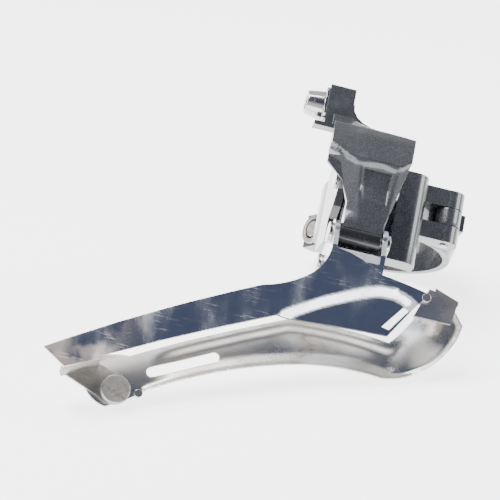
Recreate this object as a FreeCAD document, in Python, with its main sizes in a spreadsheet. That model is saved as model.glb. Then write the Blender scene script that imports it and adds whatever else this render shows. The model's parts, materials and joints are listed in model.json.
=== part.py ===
"""Band-on front derailleur for a road bicycle.

Frame: origin at the middle of the clamp bore, +Z up the seat tube, +X to the front of the
bicycle and +Y away from the drive side, so the chain cage lies on the -Y side.
All link pivots are parallel to X. The links hang from the base and carry the cage.
"""
import FreeCAD, Part
import math
import os
import re

import Sketcher
from FreeCAD import Placement, Rotation, Vector

SIZES = {
    # clamp round the seat tube
    "bore_radius": 17.45,
    "ring_wall": 2.35,
    "ring_height": 15.0,
    "hinge_angle": -52.0,
    "hinge_reach": 4.6,
    "knuckle_radius": 3.7,
    "knuckle_gap": 0.25,
    "hinge_pin_radius": 1.25,
    "lug_angle": 118.0,
    "lug_wall": 4.6,
    "lug_gap": 4.0,
    "lug_height": 10.0,
    "lug_reach": 9.0,
    "clamp_bolt_radius": 2.5,
    "clamp_bolt_head": 4.2,
    "clamp_bolt_play": 0.5,
    # base block and cheeks
    "block_front": "=bore_radius+3.75",
    "block_right": 6.0,
    "block_top": 9.0,
    "block_bottom": -15.0,
    "corner_radius": 4.0,
    "cheek_wall": 2.2,
    "cheek_radius": 4.2,
    "link_middle": -12.0,
    "link_width": 14.4,
    "hub_width": 10.6,
    "fork_arm": 2.2,
    "side_play": 0.3,
    # linkage, distances from the clamp axis
    "outer_pivot_reach": "=bore_radius+18.55",
    "outer_pivot_height": 7.0,
    "inner_pivot_reach": "=bore_radius+8.55",
    "inner_pivot_height": 1.0,
    "link_length": 26.0,
    "rest_angle": 8.0,
    "pin_radius": 2.0,
    "pin_play": 0.05,
    "pin_head_radius": 2.75,
    "pin_head_length": 1.1,
    "bush_wall": 0.9,
    "hub_radius": 3.9,
    "sleeve_radius": 3.2,
    "shield_play": 0.5,
    "shield_wall": 3.0,
    "spring_wire": 0.5,
    "spring_turns": 5.0,
    # cable arm
    "arm_left": -28.2,
    "arm_right": -21.2,
    "arm_top": 22.6,
    "arm_bottom": 13.4,
    "arm_back": "=bore_radius+13.55",
    "arm_front": "=bore_radius+20.35",
    "cable_bolt_radius": 2.5,
    "cable_head_radius": 4.0,
    "cable_head_length": 4.7,
    "cable_washer_wall": 0.8,
    # limit screws
    "screw_radius": 1.5,
    "screw_head_radius": 2.6,
    "screw_spacing": 7.0,
    "screw_reach": "=bore_radius+1.45",
    # chain cage
    "outer_plate_reach": "=bore_radius+27.55",
    "cage_gap": 11.2,
    "sheet": 1.2,
    "ear_wall": 1.3,
    "ear_radius": 3.7,
    "tail_x": -87.0,
    "tail_z": "=-link_length-41.0",
    "nose_x": 18.0,
    "nose_z": "=-link_length-9.0",
    "strip_height": 7.2,
    "slot_height": 2.6,
    "slot_length": 17.0,
    "rivet_radius": 3.8,
}

doc = FreeCAD.newDocument("FrontDerailleur")
sheet = doc.addObject("Spreadsheet::Sheet", "Sizes")
for row, (alias, amount) in enumerate(SIZES.items(), start=1):
    sheet.set(f"A{row}", alias)
    sheet.set(f"B{row}", str(amount))
    sheet.setAlias(f"B{row}", alias)
doc.recompute()


def size(alias):
    return float(getattr(sheet, alias))


def formula(text):
    """The same expression with every size named as the spreadsheet knows it."""
    return re.sub(r"[a-z][a-z_]*", lambda w: "Sizes." + w.group() if w.group() in SIZES else w.group(), text)


def number(text):
    return float(sheet.evalExpression(formula(text)))


def bind(item, **properties):
    for path, text in properties.items():
        item.setExpression(path.replace("__", "."), formula(text))
    return item


# Places that several pieces share, as expressions in the sizes.
SWING = "sin(rest_angle*1deg)*link_length"
DROP = "cos(rest_angle*1deg)*link_length"
OUTER_TOP = ("-outer_pivot_reach", "outer_pivot_height")
INNER_TOP = ("-inner_pivot_reach", "inner_pivot_height")
OUTER_LOW = (f"-outer_pivot_reach-{SWING}", f"outer_pivot_height-{DROP}")
INNER_LOW = (f"-inner_pivot_reach-{SWING}", f"inner_pivot_height-{DROP}")
LINK_LEFT = "link_middle-link_width/2"
LINK_RIGHT = "link_middle+link_width/2"
HUB_LEFT = "link_middle-hub_width/2"
HUB_RIGHT = "link_middle+hub_width/2"
CHEEK_LEFT = f"{HUB_LEFT}-side_play-cheek_wall"
CHEEK_RIGHT = f"{HUB_RIGHT}+side_play+cheek_wall"
CABLE_BOLT = ("-(arm_front+arm_back)/2", "arm_top-cable_head_radius-1.4")
EAR_LEFT = "link_middle-link_width/2-side_play-ear_wall"
EAR_RIGHT = "link_middle+link_width/2-3"
RING_RADIUS = "(bore_radius+ring_wall)"

nodes = {}
counter = [0]


def add(kind, name=None):
    counter[0] += 1
    return doc.addObject(kind, name or f"Step{counter[0]:03d}")


def box(x0, x1, y0, y1, z0, z1):
    item = add("Part::Box")
    bind(item, Length=f"({x1})-({x0})", Width=f"({y1})-({y0})", Height=f"({z1})-({z0})")
    return bind(item, Placement__Base__x=x0, Placement__Base__y=y0, Placement__Base__z=z0)


def rod(axis, radius, start, end, place):
    """A cylinder along X or Z between start and end, at place in the other two axes."""
    item = add("Part::Cylinder")
    bind(item, Radius=radius, Height=f"({end})-({start})")
    if axis == "X":
        item.Placement = Placement(Vector(), Rotation(Vector(0, 1, 0), 90))
        return bind(item, Placement__Base__x=start, Placement__Base__y=place[0], Placement__Base__z=place[1])
    return bind(item, Placement__Base__x=place[0], Placement__Base__y=place[1], Placement__Base__z=start)


def cone(radius_start, radius_end, start, end, place):
    """A truncated cone along X."""
    item = add("Part::Cone")
    bind(item, Radius1=radius_start, Radius2=radius_end, Height=f"({end})-({start})")
    item.Placement = Placement(Vector(), Rotation(Vector(0, 1, 0), 90))
    return bind(item, Placement__Base__x=start, Placement__Base__y=place[0], Placement__Base__z=place[1])


def sketch_on(body, role, points, offset):
    """A closed straight-sided sketch whose every corner is held by two bound dimensions."""
    plane = next(p for p in body.Origin.OriginFeatures if p.Role == role)
    sketch = body.newObject("Sketcher::SketchObject", body.Name + "Sketch")
    sketch.AttachmentSupport = [(plane, "")]
    sketch.MapMode = "FlatFace"
    sketch.setExpression(".AttachmentOffset.Base.z", formula(offset))
    corners = [Vector(number(a), number(b), 0) for a, b in points]
    for index, corner in enumerate(corners):
        sketch.addGeometry(Part.LineSegment(corner, corners[(index + 1) % len(corners)]))
    for index in range(len(corners)):
        sketch.addConstraint(Sketcher.Constraint("Coincident", index, 2, (index + 1) % len(corners), 1))
    for index, texts in enumerate(points):
        for kind, text in zip(("DistanceX", "DistanceY"), texts):
            slot = sketch.addConstraint(Sketcher.Constraint(kind, -1, 1, index, 1, number(text)))
            sketch.setExpression(f"Constraints[{slot}]", formula(text))
    return sketch


def prism(role, points, start, end):
    """A padded outline: YZ outlines run along X, XZ outlines along -Y and XY outlines along Z."""
    body = add("PartDesign::Body")
    sketch = sketch_on(body, role, points, start)
    pad = body.newObject("PartDesign::Pad", body.Name + "Pad")
    pad.Profile = sketch
    pad.setExpression("Length", formula(f"({end})-({start})"))
    body.Tip = pad
    return body


def fuse(*items):
    joined = add("Part::MultiFuse")
    joined.Shapes = list(items)
    joined.Refine = True
    return joined


def cut(base, *tools):
    result = add("Part::Cut")
    result.Base = base
    result.Tool = tools[0] if len(tools) == 1 else fuse(*tools)
    result.Refine = True
    return result


def node(name, item):
    item.Label = name
    nodes[name] = item
    return item


HINGE = (
    "(bore_radius+hinge_reach)*cos(hinge_angle*1deg)",
    "(bore_radius+hinge_reach)*sin(hinge_angle*1deg)",
)


def radial(distance, sideways, angle="lug_angle"):
    """A point at a distance out along the lug's direction and sideways along its tangent."""
    return (
        f"({distance})*cos({angle}*1deg)-({sideways})*sin({angle}*1deg)",
        f"({distance})*sin({angle}*1deg)+({sideways})*cos({angle}*1deg)",
    )


def ring_sector(points):
    """The clamp ring inside a wedge-shaped outline."""
    ring = cut(
        rod("Z", RING_RADIUS, "-ring_height/2", "ring_height/2", ("0", "0")),
        rod("Z", "bore_radius", "-ring_height", "ring_height", ("0", "0")),
    )
    wedge = prism("XY_Plane", points, "-ring_height/2-1", "ring_height/2+1")
    common = add("Part::MultiCommon")
    common.Shapes = [ring, wedge]
    return common


def lug(near, far):
    """One ear of the clamp's tightening gap; near and far are sideways from the gap's middle."""
    inside = "bore_radius+0.9"
    outside = f"{RING_RADIUS}+lug_reach"
    corners = [radial(inside, near), radial(outside, near), radial(outside, far), radial(inside, far)]
    return prism("XY_Plane", corners, "-lug_height/2", "lug_height/2")


def across_lug(radius, start, end):
    """A cylinder along the clamp bolt's axis, from start to end sideways of the gap's middle."""
    item = add("Part::Cylinder")
    bind(item, Radius=radius, Height=f"({end})-({start})")
    turn = Rotation(Vector(0, 0, 1), size("lug_angle") + 90).multiply(Rotation(Vector(0, 1, 0), 90))
    item.Placement = Placement(Vector(), turn)
    place = radial(f"{RING_RADIUS}+lug_reach*0.52", start)
    return bind(item, Placement__Base__x=place[0], Placement__Base__y=place[1])


def knuckle(bottom, top):
    return rod("Z", "knuckle_radius", bottom, top, HINGE)


def round_block(left, front, back, bottom):
    """A block up to block_right and block_top whose outer front corner is rounded."""
    inside = box(left, "block_right-corner_radius", front, back, bottom, "block_top")
    outside = box("block_right-corner_radius-1", "block_right", f"{front}+corner_radius", back, bottom, "block_top")
    corner = rod("Z", "corner_radius", bottom, "block_top", ("block_right-corner_radius", f"{front}+corner_radius"))
    return fuse(inside, outside, corner)


def base_bracket():
    far = "60"
    side = [("0", "0"), radial(far, "lug_gap/2"), ("-60", "30"), ("-60", "-60"), radial(far, "-0.4", "hinge_angle")]
    ring = ring_sector(side)
    block = round_block(CHEEK_LEFT, "-block_front", "-8", "block_bottom")
    shoulder = round_block(f"{CHEEK_RIGHT}+pin_head_length+0.6", "-block_front-2.8", "-12", "block_bottom-2")
    cheek_shape = [
        ("-inner_pivot_reach-cheek_radius*0.6", "inner_pivot_height-cheek_radius*0.8"),
        ("-outer_pivot_reach-cheek_radius*0.5", "outer_pivot_height-cheek_radius*0.866"),
        ("-outer_pivot_reach-cheek_radius*0.2", "outer_pivot_height+cheek_radius*0.98"),
        ("-block_front+3", "block_top-1"),
        ("-block_front+3", "block_bottom+4"),
        ("-inner_pivot_reach+1", "inner_pivot_height-cheek_radius-3"),
    ]
    cheeks = []
    for start, end in ((CHEEK_LEFT, f"{CHEEK_LEFT}+cheek_wall"), (f"{CHEEK_RIGHT}-cheek_wall", CHEEK_RIGHT)):
        cheeks.append(prism("YZ_Plane", cheek_shape, start, end))
        cheeks.append(rod("X", "cheek_radius", start, end, OUTER_TOP))
        cheeks.append(rod("X", "cheek_radius", start, end, INNER_TOP))
    third = "ring_height/6"
    knuckles = [
        knuckle(f"{third}+knuckle_gap/2", "ring_height/2"),
        knuckle("-ring_height/2", f"-{third}-knuckle_gap/2"),
    ]
    arm_back = f"({RING_RADIUS})*sin(hinge_angle*1deg)+0.6"
    arms = []
    for bottom, top in ((f"{third}+knuckle_gap/2", "ring_height/2"), ("-ring_height/2", f"-{third}-knuckle_gap/2")):
        arms.append(box("block_right-2", HINGE[0], f"{HINGE[1]}-knuckle_radius*0.95", arm_back, bottom, top))
    solid = fuse(ring, block, shoulder, *cheeks, *knuckles, *arms, lug("lug_gap/2", "lug_gap/2+lug_wall"))
    bore = rod("Z", "bore_radius", "-40", "40", ("0", "0"))
    pin_holes = [
        rod("X", "pin_radius+pin_play", f"{CHEEK_LEFT}-5", f"{CHEEK_RIGHT}+5", OUTER_TOP),
        rod("X", "pin_radius+pin_play", f"{CHEEK_LEFT}-5", f"{CHEEK_RIGHT}+5", INNER_TOP),
        rod("Z", "hinge_pin_radius+pin_play", "-20", "20", HINGE),
    ]
    swing_room = rod("Z", "knuckle_radius+0.35", f"-{third}-knuckle_gap/2", f"{third}+knuckle_gap/2", HINGE)
    nut_hole = across_lug("clamp_bolt_radius+1.2", "lug_gap/2-1", "lug_gap/2+lug_wall+1")
    screw_cuts = []
    for side_sign in ("-", "+"):
        place = (f"link_middle{side_sign}screw_spacing/2", "-screw_reach")
        screw_cuts.append(rod("Z", "screw_radius+pin_play", "block_bottom-1", "block_top+1", place))
        screw_cuts.append(rod("Z", "screw_head_radius*0.85", "block_top-3", "block_top+1", place))
    node("base_bracket", cut(solid, bore, *pin_holes, swing_room, nut_hole, *screw_cuts))


def clamp_band():
    far = "60"
    side = [("0", "0"), radial(far, "0.4", "hinge_angle"), ("60", "60"), ("0", "60"), radial(far, "-lug_gap/2")]
    third = "ring_height/6"
    tongue = box(HINGE[0], "bore_radius+1", HINGE[1], "-10", f"-{third}+knuckle_gap/2", f"{third}-knuckle_gap/2")
    middle = knuckle(f"-{third}+knuckle_gap/2", f"{third}-knuckle_gap/2")
    solid = fuse(ring_sector(side), middle, tongue, lug("-lug_gap/2-lug_wall", "-lug_gap/2"))
    bore = rod("Z", "bore_radius", "-40", "40", ("0", "0"))
    pin_hole = rod("Z", "hinge_pin_radius+pin_play", "-20", "20", HINGE)
    bolt_hole = across_lug("clamp_bolt_radius+clamp_bolt_play", "-lug_gap/2-lug_wall-1", "-lug_gap/2+1")
    knuckle_rooms = [
        rod("Z", "knuckle_radius+0.35", f"{third}-knuckle_gap/2", "ring_height", HINGE),
        rod("Z", "knuckle_radius+0.35", "-ring_height", f"-{third}+knuckle_gap/2", HINGE),
    ]
    node("clamp_band", cut(solid, bore, pin_hole, bolt_hole, *knuckle_rooms))


def clamp_fasteners():
    base_side = "lug_gap/2+lug_wall"
    nut = fuse(
        across_lug("clamp_bolt_radius+1.2", "lug_gap/2", base_side),
        across_lug("clamp_bolt_radius+2.0", base_side, f"{base_side}+1.2"),
    )
    thread = across_lug("clamp_bolt_radius+clamp_bolt_play", "lug_gap/2-2", f"{base_side}+3")
    node("clamp_nut", cut(nut, thread))
    band_side = "-lug_gap/2-lug_wall"
    washer = across_lug("clamp_bolt_head+0.6", f"{band_side}-1", band_side)
    node("clamp_bolt_washer", cut(washer, across_lug("clamp_bolt_radius+0.02", f"{band_side}-2", f"{band_side}+1")))
    shank = across_lug("clamp_bolt_radius", f"{band_side}-1.5", f"{base_side}+1.2")
    head = across_lug("clamp_bolt_head", f"{band_side}-5.5", f"{band_side}-1")
    socket = across_lug("clamp_bolt_head*0.52", f"{band_side}-6", f"{band_side}-3")
    node("clamp_bolt", cut(fuse(shank, head), socket))
    pin = rod("Z", "hinge_pin_radius", "-ring_height/2-0.4", "ring_height/2+0.4", HINGE)
    node("clamp_hinge_pin", pin)


def pivot_pin(name, place, left, right):
    """A pin with a riveted head at each end."""
    shank = rod("X", "pin_radius", left, right, place)
    heads = [
        rod("X", "pin_head_radius", f"{left}-pin_head_length", left, place),
        rod("X", "pin_head_radius", right, f"{right}+pin_head_length", place),
    ]
    node(name, fuse(shank, *heads))


def limit_screws():
    for name, side_sign in (("high_limit_screw", "-"), ("low_limit_screw", "+")):
        place = (f"link_middle{side_sign}screw_spacing/2", "-screw_reach")
        shank = rod("Z", "screw_radius", "block_bottom-0.5", "block_top+1", place)
        head = rod("Z", "screw_head_radius", "block_top+1", "block_top+3.2", place)
        across = (f"{place[0]}-3", f"{place[0]}+3")
        wide = (f"{place[1]}-0.4", f"{place[1]}+0.4")
        slot = box(*across, *wide, "block_top+2.2", "block_top+4")
        node(name, cut(fuse(shank, head), slot))
        sleeve = rod("Z", "screw_head_radius*0.85", "block_top-3", "block_top", place)
        hole = rod("Z", "screw_radius+0.05", "block_top-4", "block_top+1", place)
        node(name.replace("_screw", "_nylon_ring"), cut(sleeve, hole))


def outer_link():
    """Faceted shield in front of the base, an upper hub, the neck and the arm for the cable."""
    front = "-outer_pivot_reach-cheek_radius-shield_play"
    low_y, low_z = OUTER_LOW
    profile = [
        (f"{front}", "outer_pivot_height-4"),
        (f"{front}", "outer_pivot_height+3.5"),
        ("-outer_pivot_reach", "outer_pivot_height+cheek_radius+shield_play"),
        ("-arm_back-2.5", "arm_bottom-0.8"),
        ("-arm_back-1.5", "arm_bottom+1.0"),
        ("-arm_front", "arm_bottom+1.0"),
        (f"{front}-1.9", "outer_pivot_height+3.8"),
        (f"{front}-shield_wall-1.2", "outer_pivot_height-5.5"),
        (f"{front}-shield_wall+0.5", "outer_pivot_height-12"),
        (f"{low_y}-sleeve_radius+0.2", f"{low_z}+1.6"),
        (f"{low_y}+sleeve_radius-1.2", f"{low_z}+1.6"),
        (f"{front}-0.8", "outer_pivot_height-13"),
        (f"{front}-1.9", "outer_pivot_height-7"),
    ]
    slab = prism("YZ_Plane", profile, "link_middle-link_width", "link_middle+link_width/2+1.4")
    face = [
        ("link_middle-link_width+0.4", "arm_bottom+3"),
        ("link_middle-link_width+0.4", "outer_pivot_height-7.5"),
        ("link_middle-link_width/2-2", "outer_pivot_height-11.5"),
        ("link_middle-link_width/2+0.4", "outer_pivot_height-17"),
        ("link_middle-link_width/2+0.6", f"{low_z}-8"),
        (f"{EAR_RIGHT}-side_play", f"{low_z}-8"),
        (f"{EAR_RIGHT}-side_play", f"{low_z}+ear_radius+0.7"),
        ("link_middle+link_width/2-2.0", "outer_pivot_height-17"),
        ("link_middle+link_width/2+0.8", "outer_pivot_height-3.5"),
        ("link_middle+link_width/2+1.1", "outer_pivot_height+3.6"),
        ("link_middle-3.6", "outer_pivot_height+4.4"),
        ("arm_right+2.0", "outer_pivot_height+5.6"),
        ("arm_right", "arm_bottom+3"),
    ]
    mask = prism("XZ_Plane", face, "arm_back-5", "60")
    shield = add("Part::MultiCommon")
    shield.Shapes = [slab, mask]
    hub = rod("X", "hub_radius", HUB_LEFT, HUB_RIGHT, OUTER_TOP)
    web_heights = ("outer_pivot_height-3.6", "outer_pivot_height+3.4")
    web = box(HUB_LEFT, HUB_RIGHT, f"{front}-0.5", "-outer_pivot_reach", *web_heights)
    arm = box("arm_left", "arm_right", "-arm_front", "-arm_back", "arm_bottom", "arm_top")
    sweep = [
        ("arm_right-0.5", "arm_bottom+5.2"),
        ("arm_right", "arm_bottom+5.2"),
        ("arm_right+0.5", "arm_bottom+3.2"),
        ("arm_right+1.6", "arm_bottom+1.6"),
        ("arm_right+3.2", "arm_bottom+0.5"),
        ("arm_right+5.4", "arm_bottom-0.2"),
        ("arm_right+5.4", "arm_bottom-1.0"),
        ("arm_right-0.5", "arm_bottom-1.0"),
    ]
    gusset = prism("XZ_Plane", sweep, "outer_pivot_reach-0.8", "arm_front")
    hook = box("arm_left-2.6", "arm_left+1", "-arm_front", "-arm_front+3.4", "arm_bottom-3.0", "arm_bottom-1.8")
    hook_root = box("arm_left", "arm_left+3", "-arm_front", "-arm_front+3.4", "arm_bottom-3.0", "arm_bottom+1")
    solid = fuse(shield, hub, web, arm, gusset, hook, hook_root)
    cuts = [
        rod("X", "pin_radius+bush_wall", "-40", "10", OUTER_TOP),
        rod("X", "sleeve_radius", "-40", "10", OUTER_LOW),
        rod("X", "cable_bolt_radius", "arm_left-5", "arm_right+5", CABLE_BOLT),
        prism(
            "YZ_Plane",
            [
                (f"{front}-shield_wall-6", "outer_pivot_height-6.4"),
                (f"{front}-2.9", "outer_pivot_height-7.4"),
                (f"{front}-1.9", "outer_pivot_height-12"),
                (f"{front}-2.6", "outer_pivot_height-19"),
                (f"{front}-shield_wall-6", "outer_pivot_height-19"),
            ],
            "link_middle-4.2",
            "link_middle+3.4",
        ),
    ]
    node("outer_link", cut(solid, *cuts))
    bush = rod("X", "pin_radius+bush_wall", HUB_LEFT, HUB_RIGHT, OUTER_TOP)
    node("outer_link_bush", cut(bush, rod("X", "pin_radius+pin_play", "-40", "10", OUTER_TOP)))
    left, right = f"{LINK_LEFT}", f"{EAR_RIGHT}-side_play"
    sleeve = rod("X", "sleeve_radius", left, right, OUTER_LOW)
    node("lower_pivot_sleeve", cut(sleeve, rod("X", "pin_radius+pin_play", "-40", "10", OUTER_LOW)))


def cable_anchor():
    place = CABLE_BOLT
    washer_left = "arm_left-cable_washer_wall"
    plate = [
        ("-arm_front+0.2", "arm_bottom+0.8"),
        ("-arm_front+1.2", "arm_bottom-0.2"),
        ("-arm_back", "arm_bottom-0.2"),
        ("-arm_back+1.0", "arm_bottom+0.8"),
        ("-arm_back+1.0", "arm_top-1.6"),
        ("-arm_back", "arm_top-0.6"),
        ("-arm_front+1.2", "arm_top-0.6"),
        ("-arm_front+0.2", "arm_top-1.6"),
    ]
    washer = prism("YZ_Plane", plate, washer_left, "arm_left")
    node("cable_washer", cut(washer, rod("X", "cable_bolt_radius+pin_play", "arm_left-5", "arm_left+2", place)))
    head = cone("cable_head_radius*0.8", "cable_head_radius", f"{washer_left}-cable_head_length", washer_left, place)
    shank = rod("X", "cable_bolt_radius-0.02", f"{washer_left}-1", "arm_right+0.6", place)
    socket = rod("X", "cable_head_radius*0.5", f"{washer_left}-cable_head_length-1", f"{washer_left}-1.8", place)
    node("cable_bolt", cut(fuse(head, shank), socket))


def inner_link():
    """A forked link: two arms round the spring above, one hub below."""
    top_y, top_z = INNER_TOP
    low_y, low_z = INNER_LOW
    profile = [
        (f"{top_y}+2.2", f"{top_z}-3"),
        (f"{top_y}-2.8", f"{top_z}-2.5"),
        (f"{low_y}-2.6", f"{low_z}+1"),
        (f"{low_y}+2.6", f"{low_z}+1"),
    ]
    right = f"{EAR_RIGHT}-side_play"
    parts = []
    for start, end in ((HUB_LEFT, f"{HUB_LEFT}+fork_arm"), (f"{HUB_RIGHT}-fork_arm", HUB_RIGHT)):
        parts.append(rod("X", "hub_radius-0.2", start, end, INNER_TOP))
    web = prism("YZ_Plane", profile, HUB_LEFT, HUB_RIGHT)
    hub = rod("X", "ear_radius-0.3", LINK_LEFT, right, INNER_LOW)
    corner = box(right, f"{HUB_RIGHT}+2", "-40", "-15", "-40", f"{low_z}+10")
    solid = fuse(web, hub, *parts)
    spring_room = rod("X", "pin_radius+4.2", f"{HUB_LEFT}+fork_arm", f"{HUB_RIGHT}-fork_arm", INNER_TOP)
    window = box(f"{HUB_LEFT}+2.6", f"{HUB_RIGHT}-4.4", "-40", "-15", f"{low_z}+7", f"{top_z}-9")
    cuts = [
        corner,
        spring_room,
        window,
        rod("X", "pin_radius+bush_wall", "-40", "10", INNER_TOP),
        rod("X", "pin_radius+0.15", "-40", "10", INNER_LOW),
    ]
    node("inner_link", cut(solid, *cuts))
    bushes = []
    for start, end in ((HUB_LEFT, f"{HUB_LEFT}+fork_arm"), (f"{HUB_RIGHT}-fork_arm", HUB_RIGHT)):
        tube = rod("X", "pin_radius+bush_wall", start, end, INNER_TOP)
        bushes.append(cut(tube, rod("X", "pin_radius+pin_play", "-40", "10", INNER_TOP)))
    node("inner_link_bushes", fuse(*bushes))


def return_spring():
    """Torsion spring round the upper inner pin, with both legs inside its own width."""
    wire = size("spring_wire")
    turns = size("spring_turns")
    radius = size("pin_radius") + 0.6 + wire
    length = size("hub_width") - 2 * size("fork_arm") - 2 * wire - 0.4
    helix = Part.makeHelix(length / turns, length, radius)
    start = Part.Wire(Part.Circle(Vector(radius, 0, 0), Vector(0, 1, 0.1), wire).toShape())
    coil = Part.Wire(helix.Edges).makePipeShell([start], True, True)
    item = add("Part::Feature", "ReturnSpring")
    item.Shape = coil
    middle = size("link_middle") - length / 2
    centre = Vector(middle, number(INNER_TOP[0]), number(INNER_TOP[1]))
    item.Placement = Placement(centre, Rotation(Vector(0, 1, 0), 90))
    node("return_spring", item)


def outline(points):
    """A closed wire in the XZ plane: each point carries how far its next side bows to its left."""
    edges = []
    for index, (x, z, bow) in enumerate(points):
        start = Vector(x, 0, z)
        other = points[(index + 1) % len(points)]
        end = Vector(other[0], 0, other[1])
        if bow == 0:
            edges.append(Part.LineSegment(start, end).toShape())
            continue
        along = end - start
        left = Vector(-along.z, 0, along.x).normalize()
        middle = (start + end) * 0.5 + left * bow
        edges.append(Part.Arc(start, middle, end).toShape())
    return Part.Wire(edges)


def slab(points, near, far):
    """The outline between two distances in front of the clamp axis, near < far."""
    face = Part.Face(outline(points))
    face.translate(Vector(0, -near, 0))
    return face.extrude(Vector(0, near - far, 0))


def ear_plates():
    """The two ears that carry both lower pins, and the sloping roof between them."""
    oy, oz = number(OUTER_LOW[0]), number(OUTER_LOW[1])
    iy, iz = number(INNER_LOW[0]), number(INNER_LOW[1])
    radius = size("ear_radius")
    wall = size("ear_wall")
    left = number(EAR_LEFT)
    right = number(EAR_RIGHT)
    outer_y = -size("outer_plate_reach")
    under = iz - radius - 1.2
    solids = []
    for start in (left, right):
        corners = [
            (oy - radius, oz), (oy, oz + radius * 0.8), (iy, iz + radius * 0.9), (iy + radius, iz),
            (iy + radius, under), (outer_y, under), (outer_y, oz - radius - 1.0),
        ]
        wire = Part.makePolygon([Vector(start, y, z) for y, z in corners + corners[:1]])
        solids.append(Part.Face(wire).extrude(Vector(wall, 0, 0)))
        for y, z in ((oy, oz), (iy, iz)):
            solids.append(Part.makeCylinder(radius, wall, Vector(start, y, z), Vector(1, 0, 0)))
    thick = size("sheet")
    roof = [
        (outer_y, oz - radius - 3.5), (oy - radius, oz - radius - 0.9), (oy, oz - radius - 0.9),
        (iy, iz - radius - 0.4), (iy + radius, iz - radius - 0.4),
        (iy + radius, iz - radius - 0.4 - thick), (iy, iz - radius - 0.4 - thick),
        (oy, oz - radius - 0.9 - thick), (oy - radius, oz - radius - 0.9 - thick),
        (outer_y, oz - radius - 5.6),
    ]
    wire = Part.makePolygon([Vector(left, y, z) for y, z in roof + roof[:1]])
    solids.append(Part.Face(wire).extrude(Vector(right + wall - left, 0, 0)))
    joined = solids[0].multiFuse(solids[1:])
    for y, z in ((oy, oz), (iy, iz)):
        joined = joined.cut(Part.makeCylinder(size("pin_radius"), 60, Vector(-50, y, z), Vector(1, 0, 0)))
    return joined


def outer_plate_points():
    tx, tz = size("tail_x"), size("tail_z")
    height = size("strip_height")
    left = number(EAR_LEFT)
    top = number(OUTER_LOW[1]) - size("ear_radius") - 1.6
    nose = size("nose_x") - 11.5
    return [
        (tx, tz, 0.9),
        (tx + 50.5, tz + 28.5, -0.8),
        (left - 4, top - 8.5, -0.9),
        (left, top, 0.9),
        (left + 14, top - 4.6, 0.2),
        (nose, top - 6.8, 0),
        (nose - 3.5, top - 11.4, 0),
        (nose - 8.6, top - 19.6, -0.2),
        (tx + 55.5, tz + 21.6, -0.5),
        (tx + 5.8, tz - height * 0.5, 0),
    ]


def inner_plate_points():
    tx, tz = size("tail_x"), size("tail_z")
    nx, nz = size("nose_x"), size("nose_z")
    return [
        (tx + 14.0, tz + 3.6, 0.4),
        (tx + 22.0, tz + 5.4, 0.5),
        (tx + 60.3, tz + 24.6, 0.8),
        (nx - 17.5, nz - 7.5, -1.0),
        (nx - 10.0, nz + 6.6, 0),
        (nx - 3.5, nz + 4.4, 0),
        (nx, nz, 4.3),
        (nx - 18.0, nz - 17.5, -1.0),
        (nx - 41.0, nz - 19.1, -1.6),
        (tx + 27.0, tz - 3.2, 0.3),
        (tx + 18.5, tz - 8.8, 1.0),
        (tx + 12.0, tz - 4.0, 0),
    ]


def flat_piece(name, shape):
    item = add("Part::Feature", name.title().replace("_", ""))
    item.Shape = shape.removeSplitter()
    return node(name, item)


def rivet_place():
    return size("tail_x") + 20.2, size("tail_z") - 4.4


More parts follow.
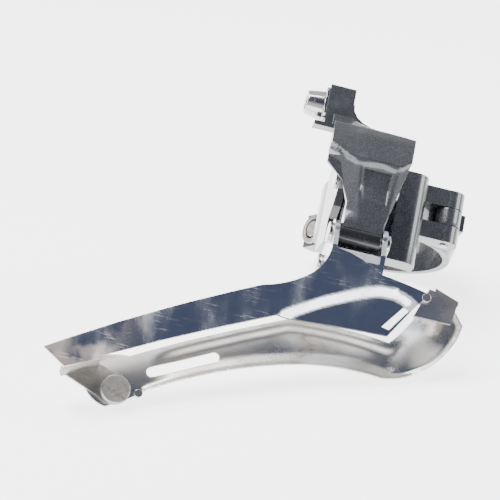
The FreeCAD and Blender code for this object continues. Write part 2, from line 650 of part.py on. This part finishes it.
def chain_cage():
    reach = size("outer_plate_reach")
    thick = size("sheet")
    gap = size("cage_gap")
    inner_near = reach - thick / 2 - gap - thick
    inner_far = inner_near + thick
    tx, tz = size("tail_x"), size("tail_z")
    rx, rz = rivet_place()
    radius = size("rivet_radius")

    plate = slab(outer_plate_points(), reach - thick / 2, reach + thick / 2)
    top = number(OUTER_LOW[1]) - size("ear_radius") - 1.6
    nose = size("nose_x") - 11.5
    window = [
        (nose - 10.6, top - 17.6, 0),
        (nose - 5.8, top - 11.2, 0),
        (nose - 4.4, top - 11.9, 0),
        (nose - 8.6, top - 18.0, 0),
    ]
    plate = plate.cut(slab(window, reach - 3, reach + 3))
    tab = [
        (tx + 5.4, tz - 2.6, 0),
        (tx + 14.0, tz + 1.6, 0.5),
        (rx + radius, rz + 1.5, 3.0),
        (rx - radius, rz - 2.5, 0),
    ]
    tab_plate = slab(tab, inner_far, inner_far + thick)
    fold = [
        (tx + 5.4, tz - 2.6, 0),
        (tx + 14.0, tz + 1.6, 0),
        (tx + 14.6, tz + 0.4, 0),
        (tx + 6.0, tz - 3.8, 0),
    ]
    fold_wall = slab(fold, inner_far, reach + thick / 2)
    rivet_hole = Part.makeCylinder(1.8, 60, Vector(rx, 0, rz), Vector(0, -1, 0))
    solid = plate.fuse([tab_plate, fold_wall, ear_plates()]).cut(rivet_hole)
    flat_piece("outer_plate", solid)

    inner = slab(inner_plate_points(), inner_near, inner_far)
    slope = math.atan2(8.4, 16.5)
    sx, sz = tx + 28.3, tz + 2.6
    ex, ez = sx + size("slot_length") * math.cos(slope), sz + size("slot_length") * math.sin(slope)
    half = size("slot_height") / 2
    across_x = -math.sin(slope) * half
    across_z = math.cos(slope) * half
    slot = [
        (sx + across_x, sz + across_z, 0),
        (ex + across_x, ez + across_z, half),
        (ex - across_x, ez - across_z, 0),
        (sx - across_x, sz - across_z, half),
    ]
    inner = inner.cut(slab(slot, inner_near - 3, inner_far + 3))
    px, pz = size("nose_x"), size("nose_z")
    web_face = [
        (px - 10.0, pz + 6.6, 0),
        (px - 3.5, pz + 4.4, 0),
        (px - 3.5, pz + 3.2, 0),
        (px - 10.0, pz + 5.4, 0),
    ]
    nose_web = slab(web_face, inner_far, reach - thick / 2)
    nose_tab = [
        (px - 11.5, pz + 6.0, 0),
        (px - 3.5, pz + 4.4, 0),
        (px - 4.5, pz - 2.0, 0),
        (px - 14.5, pz - 2.0, 0),
    ]
    nose_pad = slab(nose_tab, reach - thick / 2 - thick, reach - thick / 2)
    solid = inner.fuse([nose_web, nose_pad]).cut(rivet_hole)
    spot = Part.makeCylinder(1.2, 60, Vector(px - 12.2, 0, pz + 3.2), Vector(0, -1, 0))
    flat_piece("inner_plate", solid.cut(spot))
    nodes["outer_plate"].Shape = nodes["outer_plate"].Shape.cut(spot)

    shank = Part.makeCylinder(1.8, 2 * thick, Vector(rx, -inner_near, rz), Vector(0, -1, 0))
    head = Part.makeCylinder(radius, 2.2, Vector(rx, -inner_far - thick, rz), Vector(0, -1, 0))
    back = Part.makeCylinder(radius * 0.8, 0.9, Vector(rx, -inner_near, rz), Vector(0, 1, 0))
    flat_piece("tail_rivet", head.fuse([shank, back]))
    stud = Part.makeCylinder(1.1, 1.2, Vector(rx + 6.0, -inner_far, rz + 0.6), Vector(0, -1, 0))
    flat_piece("tail_stud", stud)
    near = reach - thick / 2 - thick
    rivet = Part.makeCylinder(1.2, 2 * thick, Vector(px - 12.2, -near, pz + 3.2), Vector(0, -1, 0))
    rivet_back = Part.makeCylinder(1.9, 0.6, Vector(px - 12.2, -near, pz + 3.2), Vector(0, 1, 0))
    flat_piece("nose_rivet", rivet.fuse(rivet_back))


def check_and_write():
    doc.recompute()
    for item in doc.Objects:
        if "Invalid" in item.State or "Error" in item.State:
            raise RuntimeError(f"{item.Label} failed: {item.State}")
    os.makedirs("parts", exist_ok=True)
    for name, item in nodes.items():
        shape = item.Shape
        if shape.isNull() or not shape.isValid() or not shape.Solids:
            raise RuntimeError(f"{name} has no valid solid")
        shape.exportStep(f"parts/{name}.step")
        print(f"{name}: {len(shape.Solids)} solid(s), {shape.Volume:.1f} mm3")


base_bracket()
clamp_band()
clamp_fasteners()
pivot_pin("upper_outer_pin", OUTER_TOP, CHEEK_LEFT, CHEEK_RIGHT)
pivot_pin("upper_inner_pin", INNER_TOP, CHEEK_LEFT, CHEEK_RIGHT)
limit_screws()
outer_link()
cable_anchor()
inner_link()
return_spring()
chain_cage()
pivot_pin("lower_outer_pin", OUTER_LOW, EAR_LEFT, f"{EAR_RIGHT}+ear_wall")
pivot_pin("lower_inner_pin", INNER_LOW, EAR_LEFT, f"{EAR_RIGHT}+ear_wall")
check_and_write()
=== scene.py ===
import json
import math

import bmesh
import bpy
from mathutils import Matrix, Vector, kdtree


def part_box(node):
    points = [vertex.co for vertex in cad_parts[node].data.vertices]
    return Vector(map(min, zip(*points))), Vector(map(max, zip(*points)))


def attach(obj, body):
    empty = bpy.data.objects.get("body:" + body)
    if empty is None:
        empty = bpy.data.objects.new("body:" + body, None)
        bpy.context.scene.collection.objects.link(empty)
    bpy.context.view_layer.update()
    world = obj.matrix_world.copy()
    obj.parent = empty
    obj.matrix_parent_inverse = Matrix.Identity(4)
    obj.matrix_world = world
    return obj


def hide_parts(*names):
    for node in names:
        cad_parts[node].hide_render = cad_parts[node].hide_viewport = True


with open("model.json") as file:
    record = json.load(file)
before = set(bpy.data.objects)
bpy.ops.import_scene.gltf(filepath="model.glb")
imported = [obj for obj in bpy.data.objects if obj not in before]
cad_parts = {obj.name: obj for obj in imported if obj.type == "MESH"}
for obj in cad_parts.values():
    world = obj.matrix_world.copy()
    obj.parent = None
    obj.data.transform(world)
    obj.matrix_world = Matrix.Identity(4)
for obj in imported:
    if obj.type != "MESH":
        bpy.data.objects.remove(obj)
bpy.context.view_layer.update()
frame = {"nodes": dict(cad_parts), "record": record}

mm = 0.001
mergeGap = 0.00001
cutGap = 0.000001


# ---- shader helpers: one wrapped socket, one way to add a node

class Signal:
    def __init__(self, net, socket):
        self.net = net
        self.socket = socket

    def math(self, operation, other, clamp=False):
        settings = {"operation": operation, "use_clamp": clamp}
        return self.net.add("ShaderNodeMath", settings, {0: self, 1: other})

    def __add__(self, other):
        return self.math("ADD", other)

    def __radd__(self, other):
        return self.math("ADD", other)

    def __sub__(self, other):
        return self.math("SUBTRACT", other)

    def __rsub__(self, other):
        return self.net.add("ShaderNodeMath", {"operation": "SUBTRACT"}, {0: other, 1: self})

    def __mul__(self, other):
        return self.math("MULTIPLY", other)

    def __rmul__(self, other):
        return self.math("MULTIPLY", other)

    def __gt__(self, other):
        return self.math("GREATER_THAN", other)

    def clamped(self):
        return self.math("ADD", 0.0, clamp=True)


class Net:
    def __init__(self, name):
        self.material = bpy.data.materials.new(name)
        self.material.use_nodes = True
        self.tree = self.material.node_tree
        self.tree.nodes.clear()
        self.place = self.add("ShaderNodeTexCoord", {}, {}, "Object")

    def add(self, kind, settings, values, output=0):
        node = self.tree.nodes.new(kind)
        for key, value in settings.items():
            if key == "stops":
                for index, (position, color) in enumerate(value):
                    stops = node.color_ramp.elements
                    stop = stops[index] if index < len(stops) else stops.new(position)
                    stop.position = position
                    stop.color = color
            else:
                setattr(node, key, value)
        for key, value in values.items():
            if isinstance(value, Signal):
                self.tree.links.new(value.socket, node.inputs[key])
            else:
                node.inputs[key].default_value = value
        return Signal(self, node.outputs[output]) if len(node.outputs) else None

    def noise(self, size, detail=3.0, stretch=(1, 1, 1), turn=(0, 0, 0), rough=0.55):
        # size is the feature size in metres
        place = self.add("ShaderNodeMapping", {}, {"Vector": self.place, "Rotation": turn, "Scale": stretch})
        return self.add("ShaderNodeTexNoise", {}, {"Vector": place, "Scale": 1.0 / size, "Detail": detail,
                                                   "Roughness": rough})

    def band(self, signal, low, high):
        # 0 below low, 1 above high, smooth between
        return self.add("ShaderNodeMapRange", {"interpolation_type": "SMOOTHSTEP"},
                        {"Value": signal, "From Min": low, "From Max": high})

    def mix(self, factor, first, second):
        return self.add("ShaderNodeMix", {"data_type": "RGBA"}, {0: factor, 6: first, 7: second}, 2)

    def bump(self, height, strength, distance):
        return self.add("ShaderNodeBump", {}, {"Height": height, "Strength": strength, "Distance": distance})

    def finish(self, **sockets):
        names = {"color": "Base Color", "metal": "Metallic", "rough": "Roughness", "normal": "Normal",
                 "coat": "Coat Weight", "coatRough": "Coat Roughness", "specular": "Specular IOR Level"}
        values = {names[key]: value for key, value in sockets.items()}
        shader = self.add("ShaderNodeBsdfPrincipled", {}, values)
        self.add("ShaderNodeOutputMaterial", {}, {"Surface": shader})
        return self.material


# ---- finishes

chromeLook = {
    "bright": (0.80, 0.82, 0.86, 1),
    # darker bluish colour for the chrome's patches: a painted reflection of navy surroundings
    "smudgeAndPaintedReflection": (0.50, 0.53, 0.62, 1),
    "warm": (0.66, 0.52, 0.44, 1),
    # darker grey painted onto the folded tail as painted shade
    "dull": (0.40, 0.385, 0.36, 1),
    "rough": 0.09,
    "cloudRough": 0.30,
    "tailEnd": -0.062,    # the folded tail starts behind this X
    "foldDepth": -0.0444,  # and lies inwards of this Y
}


def polishedChrome():
    net = Net("polished_chrome")
    along = net.add("ShaderNodeSeparateXYZ", {}, {"Vector": net.place}, "X")
    inward = net.add("ShaderNodeSeparateXYZ", {}, {"Vector": net.place}, "Y")
    # painted reflection: the two noise masks below blend the chrome towards a darker bluish colour in
    # patches, standing in for reflected navy surroundings; the larger mask also makes those patches rougher
    # and bumpier, like real smudges
    smudgeAndPaintedReflection = net.band(net.noise(0.011, 5.0, (1.2, 1, 0.55), (0, 0.3, 0), 0.5), 0.44, 0.74)
    finePaintedReflection = net.band(net.noise(0.0022, 5.0), 0.45, 0.7)
    scratch = net.band(net.noise(0.0006, 3.0, (0.06, 1, 1), (0, 0.9, 0)), 0.58, 0.68)
    color = net.mix((smudgeAndPaintedReflection * 0.45 + finePaintedReflection * 0.2).clamped(), chromeLook["bright"], chromeLook["smudgeAndPaintedReflection"])
    tail = net.band(along * -1, 0.056, 0.078) * net.band(net.noise(0.011, 3.0), 0.4, 0.6)
    color = net.mix(tail * 0.75, color, chromeLook["warm"])
    # painted shade: the folded tail between the plates is painted a darker grey with darker mottling,
    # standing in for the shadow it sits in; it is also made rougher
    shadedFold = (along * -1 > -chromeLook["tailEnd"]) * (inward > chromeLook["foldDepth"])
    grain = net.noise(0.0016, 6.0, rough=0.7)
    color = net.mix(shadedFold, color, net.mix(grain, chromeLook["dull"], (0.2, 0.185, 0.17, 1)))
    rough = chromeLook["rough"] + smudgeAndPaintedReflection * chromeLook["cloudRough"] + scratch * 0.12 + shadedFold * 0.3 + tail * 0.30
    relief = scratch + smudgeAndPaintedReflection * 0.5
    return net.finish(color=color, metal=1.0, rough=rough.clamped(), normal=net.bump(relief, 0.12, 0.0002))


satinLook = {
    "steel": (0.68, 0.67, 0.65, 1),
    "dull": (0.40, 0.365, 0.32, 1),
    "grime": (0.16, 0.115, 0.075, 1),
    "rough": 0.24,
}


def satinSteel():
    net = Net("satin_steel")
    tone = net.band(net.noise(0.014, 4.0, (0.5, 1, 1), (0, 0.5, 0)), 0.38, 0.68)
    dirt = net.band(net.noise(0.005, 6.0, (0.5, 1, 1), (0, 0.5, 0), 0.7), 0.56, 0.72)
    specks = net.band(net.noise(0.0007, 2.0), 0.66, 0.74)
    color = net.mix(tone * 0.8, satinLook["steel"], satinLook["dull"])
    color = net.mix((dirt * 0.75 + specks * 0.35).clamped(), color, satinLook["grime"])
    rough = satinLook["rough"] + tone * 0.12 + dirt * 0.2
    relief = tone + specks * 0.4
    return net.finish(color=color, metal=1.0, rough=rough.clamped(), normal=net.bump(relief, 0.15, 0.0002))


paintLook = {
    "base": (0.056, 0.059, 0.065, 1),
    "flake": (0.33, 0.34, 0.36, 1),
    "flakeSize": 0.00014,
    "rough": 0.27,
}


def flakePaint():
    net = Net("flake_paint")
    density = 1.0 / paintLook["flakeSize"]
    grains = net.add("ShaderNodeTexVoronoi", {}, {"Vector": net.place, "Scale": density}, "Color")
    grain = net.add("ShaderNodeSeparateColor", {}, {"Color": grains})
    sparkle = net.band(grain, 0.55, 1.0)
    wear = net.band(net.noise(0.006, 5.0), 0.5, 0.78)
    color = net.mix((sparkle * 0.17 + wear * 0.03).clamped(), paintLook["base"], paintLook["flake"])
    rough = paintLook["rough"] + wear * 0.15
    return net.finish(color=color, metal=0.55, rough=rough, coat=0.9, coatRough=0.06,
                      normal=net.bump(sparkle, 0.06, 0.0001))


def blackPaint():
    net = Net("black_paint")
    dust = net.band(net.noise(0.002, 5.0), 0.55, 0.8)
    color = net.mix(dust * 0.4, (0.012, 0.012, 0.014, 1), (0.07, 0.065, 0.06, 1))
    return net.finish(color=color, metal=0.1, rough=0.22 + dust * 0.3, coat=0.4, coatRough=0.1,
                      normal=net.bump(dust, 0.05, 0.0001))


def brightSteel():
    net = Net("bright_steel")
    mark = net.band(net.noise(0.0016, 4.0), 0.55, 0.8)
    color = net.mix(mark * 0.6, (0.52, 0.51, 0.50, 1), (0.30, 0.28, 0.26, 1))
    return net.finish(color=color, metal=1.0, rough=0.13 + mark * 0.2, normal=net.bump(mark, 0.05, 0.0001))


def dullSteel():
    net = Net("dull_steel")
    mark = net.band(net.noise(0.0022, 6.0, rough=0.7), 0.42, 0.7)
    color = net.mix(mark, (0.40, 0.39, 0.37, 1), (0.16, 0.14, 0.12, 1))
    return net.finish(color=color, metal=0.85, rough=0.42 + mark * 0.25, normal=net.bump(mark, 0.3, 0.0002))


def bronzeBush():
    net = Net("bronze_bush")
    mark = net.noise(0.002, 3.0)
    color = net.mix(mark, (0.42, 0.27, 0.12, 1), (0.28, 0.18, 0.09, 1))
    return net.finish(color=color, metal=1.0, rough=0.3 + mark * 0.1)


def nylonRing():
    net = Net("nylon_ring")
    mark = net.noise(0.001, 3.0)
    color = net.mix(mark, (0.75, 0.75, 0.72, 1), (0.62, 0.61, 0.58, 1))
    return net.finish(color=color, rough=0.45 + mark * 0.1)


print("finishes")
finishes = {
    "dark_paint": flakePaint(),
    "black_paint": blackPaint(),
    "polished_steel": polishedChrome(),
    "satin_steel": satinSteel(),
    "bright_steel": brightSteel(),
    "dull_steel": dullSteel(),
    "bronze": bronzeBush(),
    "nylon": nylonRing(),
}
slotOf = {entry["node"]: entry["material_slot"] for entry in frame["record"]["subparts"]}
bodyOf = {node: body for body, nodes in frame["record"]["behaviour"]["bodies"].items() for node in nodes}


def dress(piece, slotName):
    piece.data.materials.clear()
    piece.data.materials.append(finishes[slotName])


def roundEdges(piece, width, segments=3, angle=28):
    weld = piece.modifiers.new("weld", "WELD")
    weld.merge_threshold = mergeGap
    flat = piece.modifiers.new("flat", "DECIMATE")
    flat.decimate_type = "DISSOLVE"
    flat.angle_limit = math.radians(1.5)
    bevel = piece.modifiers.new("edges", "BEVEL")
    bevel.width = width
    bevel.segments = segments
    bevel.limit_method = "ANGLE"
    bevel.angle_limit = math.radians(angle)
    bevel.harden_normals = False
    normals = piece.modifiers.new("normals", "WEIGHTED_NORMAL")
    normals.keep_sharp = True


# ---- pieces reshaped from their CAD meshes

def mergedCopy(nodeName, pieceName):
    source = frame["nodes"][nodeName]
    mesh = source.data.copy()
    mesh.name = pieceName
    piece = bpy.data.objects.new(pieceName, mesh)
    bpy.context.scene.collection.objects.link(piece)
    work = bmesh.new()
    work.from_mesh(mesh)
    bmesh.ops.remove_doubles(work, verts=work.verts, dist=mergeGap)
    bmesh.ops.dissolve_limit(work, angle_limit=math.radians(1), verts=work.verts, edges=work.edges)
    return piece, work


def gridCut(work, low, high, step):
    # even cuts along X and Z, so that a relief has points to move
    for axis in (0, 2):
        count = int((high[axis] - low[axis]) / step)
        for index in range(1, count):
            place = Vector((0, 0, 0))
            place[axis] = low[axis] + index * step
            across = Vector((0, 0, 0))
            across[axis] = 1
            geometry = work.verts[:] + work.edges[:] + work.faces[:]
            bmesh.ops.bisect_plane(work, geom=geometry, dist=cutGap, plane_co=place, plane_no=across)


def storePiece(piece, work, nodeName):
    bmesh.ops.recalc_face_normals(work, faces=work.faces)
    work.to_mesh(piece.data)
    work.free()
    piece.data.polygons.foreach_set("use_smooth", [True] * len(piece.data.polygons))
    dress(piece, slotOf[nodeName])
    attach(piece, bodyOf[nodeName])
    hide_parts(nodeName)


def ease(value, low, high):
    share = min(1.0, max(0.0, (value - low) / (high - low)))
    return share * share * (3 - 2 * share)


def heightAt(line, x):
    for (x0, z0), (x1, z1) in zip(line, line[1:]):
        if x0 <= x <= x1:
            return z0 + (z1 - z0) * (x - x0) / (x1 - x0)
    return None


outerPlate = {
    "step": 0.0008,
    "panelDepth": 0.0019,
    "band": 0.0028,
    # upper edge of the pressed panel, in mm from the clamp's middle
    "panelTop": [
        (-31.5, -45.8), (-29.4, -43.2), (-20.0, -37.4), (-10.5, -32.8),
        (-6.5, -31.4), (-2.2, -31.2), (7.0, -34.6),
    ],
    "sheetDepth": 0.0013,
    "fadeFrom": 1.5,      # the panel fades out between these X, in mm
    "fadeTo": 6.0,
}


def makeOuterPlate():
    print("outer plate")
    piece, work = mergedCopy("outer_plate", "outer_plate_pressed")
    low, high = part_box("outer_plate")
    gridCut(work, low, high, outerPlate["step"])
    face = low[1] + outerPlate["sheetDepth"]
    for vert in work.verts:
        if vert.co.y > face:
            continue
        x, z = vert.co.x / mm, vert.co.z / mm
        top = heightAt(outerPlate["panelTop"], x)
        if top is None:
            continue
        sink = min(1.0, max(0.0, (top - z) * mm / outerPlate["band"]))
        fade = 1 - ease(x, outerPlate["fadeFrom"], outerPlate["fadeTo"])
        vert.co.y += outerPlate["panelDepth"] * sink * fade
    storePiece(piece, work, "outer_plate")
    return piece


innerPlate = {
    "step": 0.0006,
    "slotEnds": ((-0.0588, -0.0642), (-0.0428, -0.0561)),
    "slotClear": 0.0022,
    "lipWidth": 0.0013,
    "lipHeight": 0.0011,
    "hollow": 0.0009,
    "noseReach": 0.0042,
    # the plate's lower edge, in mm from the clamp's middle
    "lowerEdge": [
        (-59.6, -70.2), (-43.6, -61.4), (-31.0, -56.5), (-22.9, -54.1),
        (-10.4, -52.2), (2.4, -52.4), (10.3, -48.1),
    ],
    "lipReach": 3.2,      # in mm
    "sheetDepth": 0.0013,
    "rimSpacing": 0.0004,
    "rimAngle": 1.2,      # radians between faces that counts as a rim
}


def slotGap(x, z):
    # distance from a point to the slot's middle line
    first, last = (Vector(end) for end in innerPlate["slotEnds"])
    share = (Vector((x, z)) - first).dot(last - first) / (last - first).length_squared
    return (Vector((x, z)) - first.lerp(last, min(1.0, max(0.0, share)))).length


def makeInnerPlate():
    print("inner plate")
    piece, work = mergedCopy("inner_plate", "inner_plate_pressed")
    low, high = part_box("inner_plate")
    back = high[1] - innerPlate["sheetDepth"]
    rim = []
    for edge in work.edges:
        first, second = edge.verts
        if min(first.co.y, second.co.y) < back - 0.0002 or abs(first.co.y - second.co.y) > 0.0002:
            continue
        if len(edge.link_faces) == 2 and edge.calc_face_angle(0) > innerPlate["rimAngle"]:
            count = max(2, int(edge.calc_length() / innerPlate["rimSpacing"]))
            rim += [first.co.lerp(second.co, i / count) for i in range(count)]
    rim = [place for place in rim if slotGap(place.x, place.z) > innerPlate["slotClear"]]
    tree = kdtree.KDTree(len(rim))
    for index, place in enumerate(rim):
        tree.insert((place.x, 0, place.z), index)
    tree.balance()
    gridCut(work, low, high, innerPlate["step"])
    for vert in work.verts:
        if vert.co.y < back - 0.0002:
            continue
        _, _, gap = tree.find((vert.co.x, 0, vert.co.z))
        x, z = vert.co.x / mm, vert.co.z / mm
        edge = heightAt(innerPlate["lowerEdge"], x)
        below = edge is not None and z - edge < innerPlate["lipReach"]
        push = innerPlate["hollow"] * ease(gap, 0.0012, 0.0034) * (1 - ease(x, 0, 6)) * ease(x, -60, -52)
        if below or x > 6:
            push -= innerPlate["lipHeight"] * (1 - ease(gap, 0, innerPlate["lipWidth"]))
        push -= innerPlate["noseReach"] * ease(x, 1, 13) * ease(z, -52, -39)
        vert.co.y += push
    storePiece(piece, work, "inner_plate")
    return piece


outerLink = {
    "step": 0.0005,
    # the crease across the face, in mm from the clamp's middle
    "crease": [
        (-27.0, 4.6), (-25.2, 3.9), (-21.6, 1.9), (-18.3, 0.2),
        (-11.8, 0.8), (-7.9, 0.3), (-4.5, 2.9), (-2.0, 4.4),
    ],
    "bulge": 0.0003,
    "scoop": 0.0005,
    "sideSlope": 0.34,
    "frontDepth": 0.0055,
}


def makeOuterLink():
    print("outer link")
    piece, work = mergedCopy("outer_link", "outer_link_faceted")
    low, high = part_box("outer_link")
    gridCut(work, low, high, outerLink["step"])
    work.normal_update()
    face = low[1] + outerLink["frontDepth"]
    moves = []
    for vert in work.verts:
        x, z = vert.co.x / mm, vert.co.z / mm
        if vert.co.y > face or z > 12.0 or vert.normal.y > -0.25:
            continue
        crease = heightAt(outerLink["crease"], x)
        if crease is None:
            continue
        below = ease(crease - z, -0.1, 0.55)
        middle = -12.3 + 0.06 * (crease - z)
        half = 5.0 - 0.11 * (crease - z)
        aside = abs(x - middle)
        channel = (1 - ease(aside, half - 1.6, half + 0.3)) * (1 - 0.8 * ease(crease - z, 3, 15))
        slope = max(0.0, aside - half) * outerLink["sideSlope"] * mm * ease(z, -16.5, -12)
        across = 1 - ((x + 13.0) / 14.0) ** 2
        bulge = outerLink["bulge"] * (1 - below) * max(0.0, across) * (1 - ease(z, 8.5, 12))
        moves.append((vert, below * (outerLink["scoop"] * channel + slope) - bulge))
    for vert, push in moves:
        vert.co.y += push
    storePiece(piece, work, "outer_link")
    return piece


ringLook = {"radius": 0.0198, "crown": 0.0011, "half": 0.0075, "step": 0.0012}


def makeCrownedRing(nodeName, pieceName):
    # the ring's outside swells towards the middle of its height
    print(pieceName)
    piece, work = mergedCopy(nodeName, pieceName)
    low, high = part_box(nodeName)
    for index in range(1, int((high[2] - low[2]) / ringLook["step"])):
        geometry = work.verts[:] + work.edges[:] + work.faces[:]
        place = Vector((0, 0, low[2] + index * ringLook["step"]))
        bmesh.ops.bisect_plane(work, geom=geometry, dist=cutGap, plane_co=place, plane_no=Vector((0, 0, 1)))
    for vert in work.verts:
        reach = math.hypot(vert.co.x, vert.co.y)
        if abs(reach - ringLook["radius"]) > 0.0002 or abs(vert.co.z) > ringLook["half"] + 0.0001:
            continue
        swell = ringLook["crown"] * (1 - 1.45 * (vert.co.z / ringLook["half"]) ** 2)
        vert.co.x *= 1 + swell / reach
        vert.co.y *= 1 + swell / reach
    storePiece(piece, work, nodeName)
    return piece


print("carried-over pieces")
edgeWidths = {"base_bracket": 0.0008, "clamp_band": 0.0010, "outer_link": 0.0006, "inner_link": 0.0004,
              "tail_rivet": 0.0005, "cable_bolt": 0.00035, "clamp_bolt": 0.0004, "clamp_nut": 0.0003}
for nodeName, piece in frame["nodes"].items():
    dress(piece, slotOf[nodeName])
    if nodeName not in ("outer_plate", "inner_plate", "return_spring", "outer_link", "clamp_band"):
        roundEdges(piece, edgeWidths.get(nodeName, 0.00015))

outerPiece = makeOuterPlate()
innerPiece = makeInnerPlate()
linkPiece = makeOuterLink()
bandPiece = makeCrownedRing("clamp_band", "clamp_band_crowned")
shapedWidths = ((outerPiece, 0.00018), (innerPiece, 0.00018), (linkPiece, 0.0003), (bandPiece, 0.0004))
for piece, width in shapedWidths:
    bevel = piece.modifiers.new("edges", "BEVEL")
    bevel.width = width
    bevel.segments = 2
    bevel.limit_method = "ANGLE"
    bevel.angle_limit = math.radians(50)
    normals = piece.modifiers.new("normals", "WEIGHTED_NORMAL")
    normals.keep_sharp = True


# ---- stage, light and camera

floorLook = {"lean": (-0.245, -0.619, 0.746), "half": 2.5, "color": (0.9, 0.905, 0.915, 1)}


def makeFloor():
    print("floor")
    normal = Vector(floorLook["lean"]).normalized()
    lowest = min(normal.dot(vert.co) for piece in frame["nodes"].values() for vert in piece.data.vertices)
    work = bmesh.new()
    bmesh.ops.create_grid(work, x_segments=1, y_segments=1, size=floorLook["half"])
    turn = normal.to_track_quat("Z", "Y").to_matrix().to_4x4()
    bmesh.ops.transform(work, matrix=Matrix.Translation(normal * (lowest - 0.00005)) @ turn, verts=work.verts)
    mesh = bpy.data.meshes.new("floor")
    work.to_mesh(mesh)
    work.free()
    floor = bpy.data.objects.new("floor", mesh)
    bpy.context.scene.collection.objects.link(floor)
    net = Net("pale_floor")
    soft = net.noise(0.3, 2.0)
    color = net.mix(soft * 0.15, floorLook["color"], (0.88, 0.885, 0.9, 1))
    card = net.add("ShaderNodeBsdfDiffuse", {}, {"Color": color})
    glow = net.add("ShaderNodeEmission", {}, {"Color": (1, 1, 1, 1), "Strength": 2.6})
    lit = net.add("ShaderNodeAddShader", {}, {0: card, 1: glow})
    behind = net.add("ShaderNodeNewGeometry", {}, {}, "Backfacing")
    clear = net.add("ShaderNodeBsdfTransparent", {}, {})
    shown = net.add("ShaderNodeMixShader", {}, {0: behind, 1: lit, 2: clear})
    net.add("ShaderNodeOutputMaterial", {}, {"Surface": shown})
    floor.data.materials.append(net.material)
    return normal


def makeWorld(cardWay):
    world = bpy.data.worlds.new("studio")
    bpy.context.scene.world = world
    world.use_nodes = True
    tree = world.node_tree
    tree.nodes.clear()
    place = tree.nodes.new("ShaderNodeTexCoord")
    dot = tree.nodes.new("ShaderNodeVectorMath")
    dot.operation = "DOT_PRODUCT"
    dot.inputs[1].default_value = cardWay
    ramp = tree.nodes.new("ShaderNodeValToRGB")
    stops = ramp.color_ramp.elements
    stops[0].position = 0.72
    stops[0].color = (1.0, 1.0, 1.0, 1)
    stops[1].position = 0.90
    stops[1].color = (0.075, 0.090, 0.145, 1)
    background = tree.nodes.new("ShaderNodeBackground")
    background.inputs["Strength"].default_value = 1.1
    output = tree.nodes.new("ShaderNodeOutputWorld")
    tree.links.new(place.outputs["Generated"], dot.inputs[0])
    tree.links.new(dot.outputs["Value"], ramp.inputs["Fac"])
    tree.links.new(ramp.outputs["Color"], background.inputs["Color"])
    tree.links.new(background.outputs["Background"], output.inputs["Surface"])


def softBox(name, place, aim, size, power):
    light = bpy.data.lights.new(name, "AREA")
    light.size = size
    light.energy = power
    lamp = bpy.data.objects.new(name, light)
    lamp.location = place
    lamp.rotation_euler = (Vector(aim) - Vector(place)).to_track_quat("-Z", "Y").to_euler()
    bpy.context.scene.collection.objects.link(lamp)


cameraPlan = {
    "azimuth": -6.0,      # degrees round from straight on
    "elevation": -17.0,
    "roll": 11.7,
    "distance": 0.510,
    "target": (-0.0393756, -0.025, -0.0240742),
    "lens": 137.7,
}


def makeCamera():
    azimuth = math.radians(cameraPlan["azimuth"])
    elevation = math.radians(cameraPlan["elevation"])
    roll = math.radians(cameraPlan["roll"])
    level = math.cos(elevation)
    toCamera = Vector((math.sin(azimuth) * level, -math.cos(azimuth) * level, math.sin(elevation)))
    across = Vector((math.cos(azimuth), math.sin(azimuth), 0))
    upward = toCamera.cross(across)
    right = math.cos(roll) * across + math.sin(roll) * upward
    up = -math.sin(roll) * across + math.cos(roll) * upward
    data = bpy.data.cameras.new("camera")
    data.lens = cameraPlan["lens"]
    data.sensor_width = 36.0
    data.clip_start = 0.01
    data.clip_end = 20
    camera = bpy.data.objects.new("camera", data)
    turn = Matrix((right, up, toCamera)).transposed().to_4x4()
    place = Vector(cameraPlan["target"]) + toCamera * cameraPlan["distance"]
    camera.matrix_world = Matrix.Translation(place) @ turn
    bpy.context.scene.collection.objects.link(camera)
    bpy.context.scene.camera = camera
    return toCamera, right, up


print("stage")
floorUp = makeFloor()
toCamera, right, up = makeCamera()
middle = Vector(cameraPlan["target"])
makeWorld((0.1, -0.951, 0.292))
softBox("top_box", middle + floorUp * 0.7 - right * 0.2, middle, 0.5, 9.0)
softBox("left_box", middle - right * 0.6 + floorUp * 0.35 + toCamera * 0.1, middle, 0.35, 3.5)
softBox("right_box", middle + right * 0.6 + floorUp * 0.3, middle, 0.3, 2.5)
